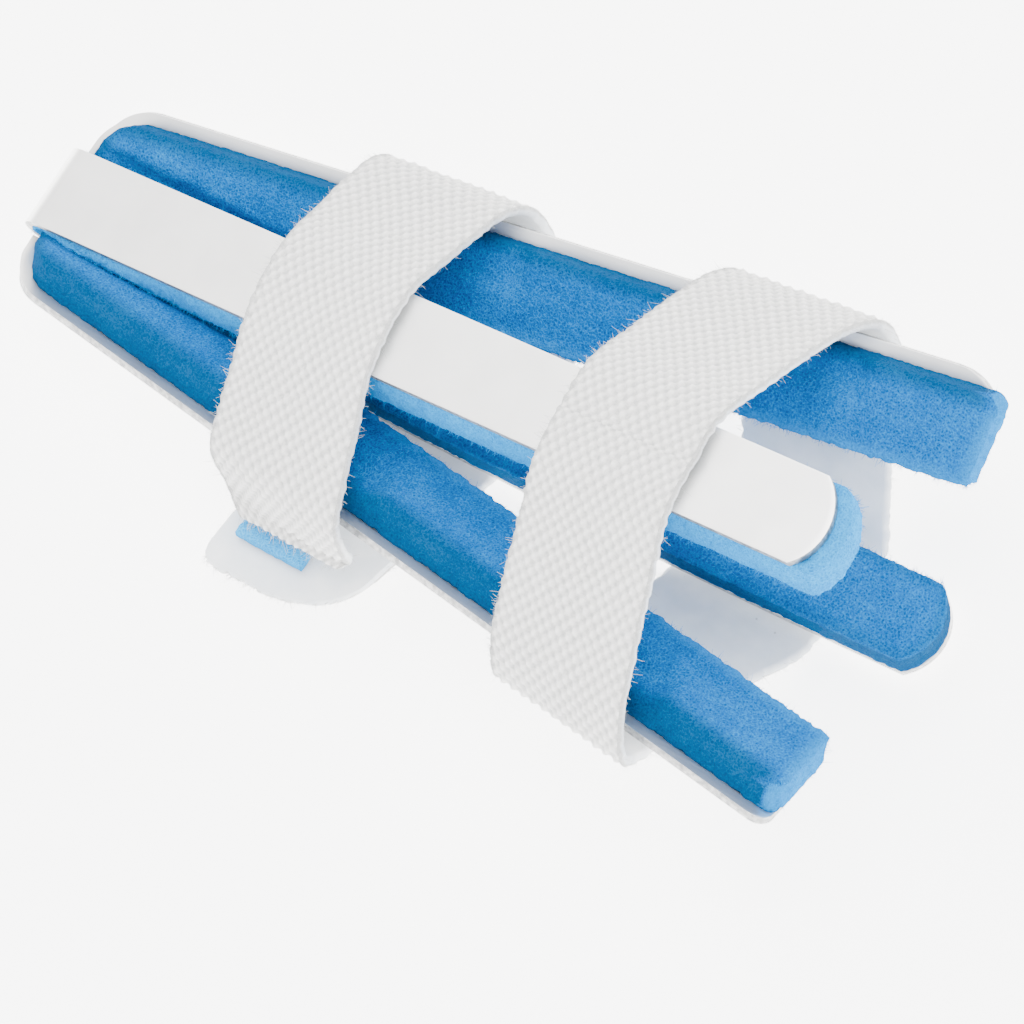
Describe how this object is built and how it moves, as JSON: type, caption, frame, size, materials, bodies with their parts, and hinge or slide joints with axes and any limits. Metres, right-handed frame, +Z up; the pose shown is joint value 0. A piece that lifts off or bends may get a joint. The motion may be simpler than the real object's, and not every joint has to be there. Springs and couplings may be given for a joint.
{
  "type": "finger splint",
  "caption": "Foam-lined bent aluminium finger splint with prongs, a folded-over tongue and two tape straps.",
  "frame": {"origin": "middle of the footprint, on the surface that the straps rest on", "axes": "+X from the fold at the tip end to the open end, +Y towards the longer-cornered wing, +Z up"},
  "size_m": [0.1118, 0.0548, 0.0329],
  "materials": {
    "aluminium_sheet": "satin",
    "blue_foam": "open-cell foam",
    "loop_tape": "brushed loops"
  },
  "bodies": {
    "root": {"frame": "aluminium_sheet", "foam_base": "blue_foam", "foam_tongue": "blue_foam", "strap_front": "loop_tape", "strap_rear": "loop_tape", "foam_patch": "blue_foam"}
  },
  "joints": []
}
